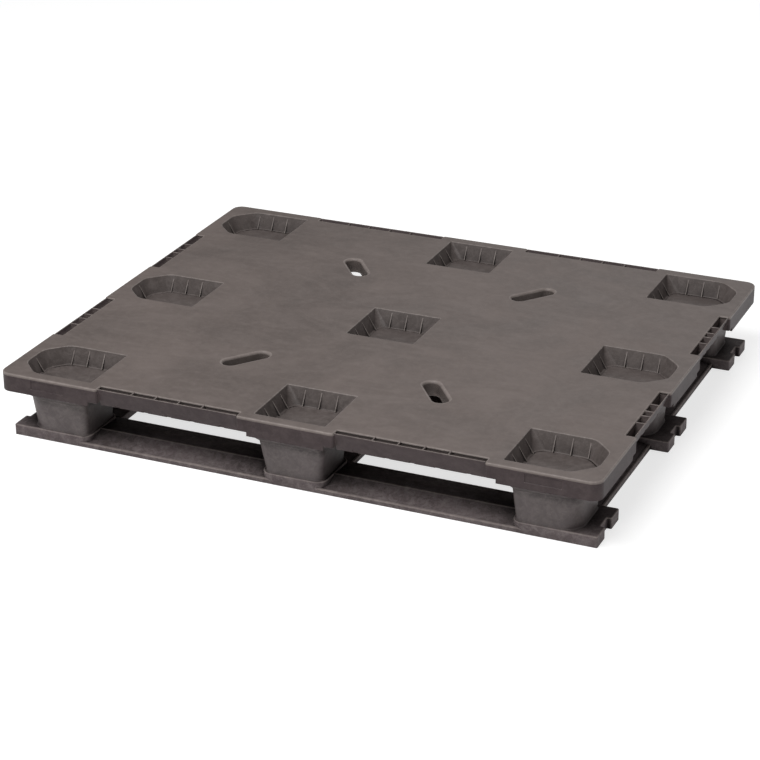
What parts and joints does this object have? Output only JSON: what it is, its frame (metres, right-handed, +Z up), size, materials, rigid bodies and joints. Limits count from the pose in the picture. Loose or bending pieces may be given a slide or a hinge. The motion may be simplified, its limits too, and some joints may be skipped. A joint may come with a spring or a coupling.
{
  "type": "pallet",
  "caption": "Four-way plastic pallet with a smooth deck, sunken foot pockets, radial slots, edge channels, tapered hollow legs and a rackable base of skids and cross runners.",
  "frame": {"origin": "centre of the footprint, on the floor the base rests on", "axes": "+X along the 1219 mm side to the right, +Y along the 1016 mm side to the back, +Z up"},
  "size_m": [1.2192, 1.016, 0.1422],
  "materials": {
    "deck_plastic": "smooth moulded, faint flow marks",
    "base_plastic": "fine moulded grain, mottled",
    "screw_steel": "zinc plated"
  },
  "bodies": {
    "root": {"back_block_skirt": "deck_plastic", "back_channel_left": "deck_plastic", "back_channel_right": "deck_plastic", "back_left_corner_skirt": "deck_plastic", "back_right_corner_skirt": "deck_plastic", "back_skid": "base_plastic", "cross_ribs": "deck_plastic", "deck_plate": "deck_plastic", "front_block_skirt": "deck_plastic", "front_channel_left": "deck_plastic", "front_channel_right": "deck_plastic", "front_left_corner_skirt": "deck_plastic", "front_right_corner_skirt": "deck_plastic", "front_skid": "base_plastic", "lap_screws": "screw_steel", "left_block_skirt": "deck_plastic", "left_channel_back": "deck_plastic", "left_channel_front": "deck_plastic", "left_runner_back": "base_plastic", "left_runner_front": "base_plastic", "leg_back_left": "deck_plastic", "leg_back_middle": "deck_plastic", "leg_back_right": "deck_plastic", "leg_front_left": "deck_plastic", "leg_front_middle": "deck_plastic", "leg_front_right": "deck_plastic", "leg_middle_left": "deck_plastic", "leg_middle_middle": "deck_plastic", "leg_middle_right": "deck_plastic", "leg_screws": "screw_steel", "long_ribs": "deck_plastic", "middle_runner_back": "base_plastic", "middle_runner_front": "base_plastic", "middle_skid": "base_plastic", "right_block_skirt": "deck_plastic", "right_channel_back": "deck_plastic", "right_channel_front": "deck_plastic", "right_runner_back": "base_plastic", "right_runner_front": "base_plastic", "slot_collars": "deck_plastic"}
  },
  "joints": []
}
